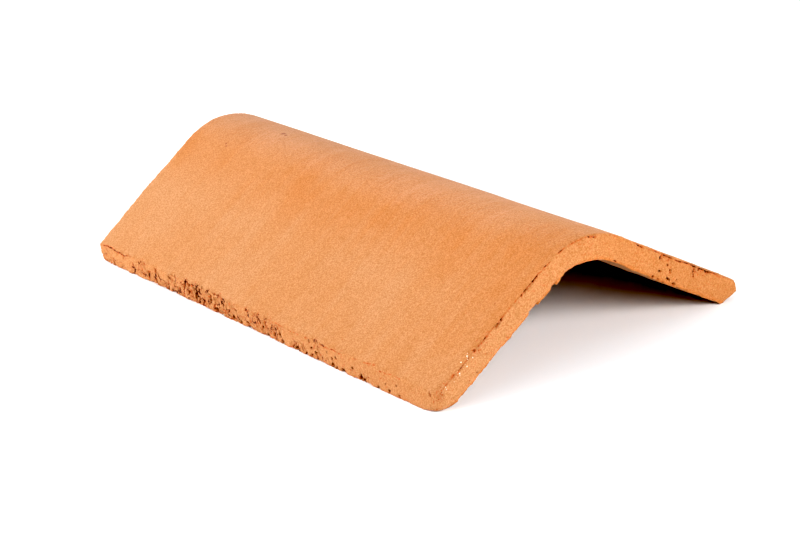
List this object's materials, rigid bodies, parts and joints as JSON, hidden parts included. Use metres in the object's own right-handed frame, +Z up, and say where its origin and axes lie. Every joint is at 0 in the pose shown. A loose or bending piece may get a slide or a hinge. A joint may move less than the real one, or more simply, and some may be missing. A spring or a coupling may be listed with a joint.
{
  "type": "clay ridge tile",
  "caption": "Plain angle ridge tile of fired clay, two straight wings meeting in a rounded ridge, for capping the ridge of a tiled roof.",
  "frame": {"origin": "on the floor, midway along the tile and below the ridge, at the centre of the bounding box's bottom", "axes": "+Y along the ridge, +X across it from the left foot to the right foot, +Z up"},
  "size_m": [0.254, 0.45, 0.0833],
  "materials": {
    "fired_clay": "matte, unglazed, sanded faces with torn edges"
  },
  "bodies": {
    "root": {"ridge_tile": "fired_clay"}
  },
  "joints": []
}
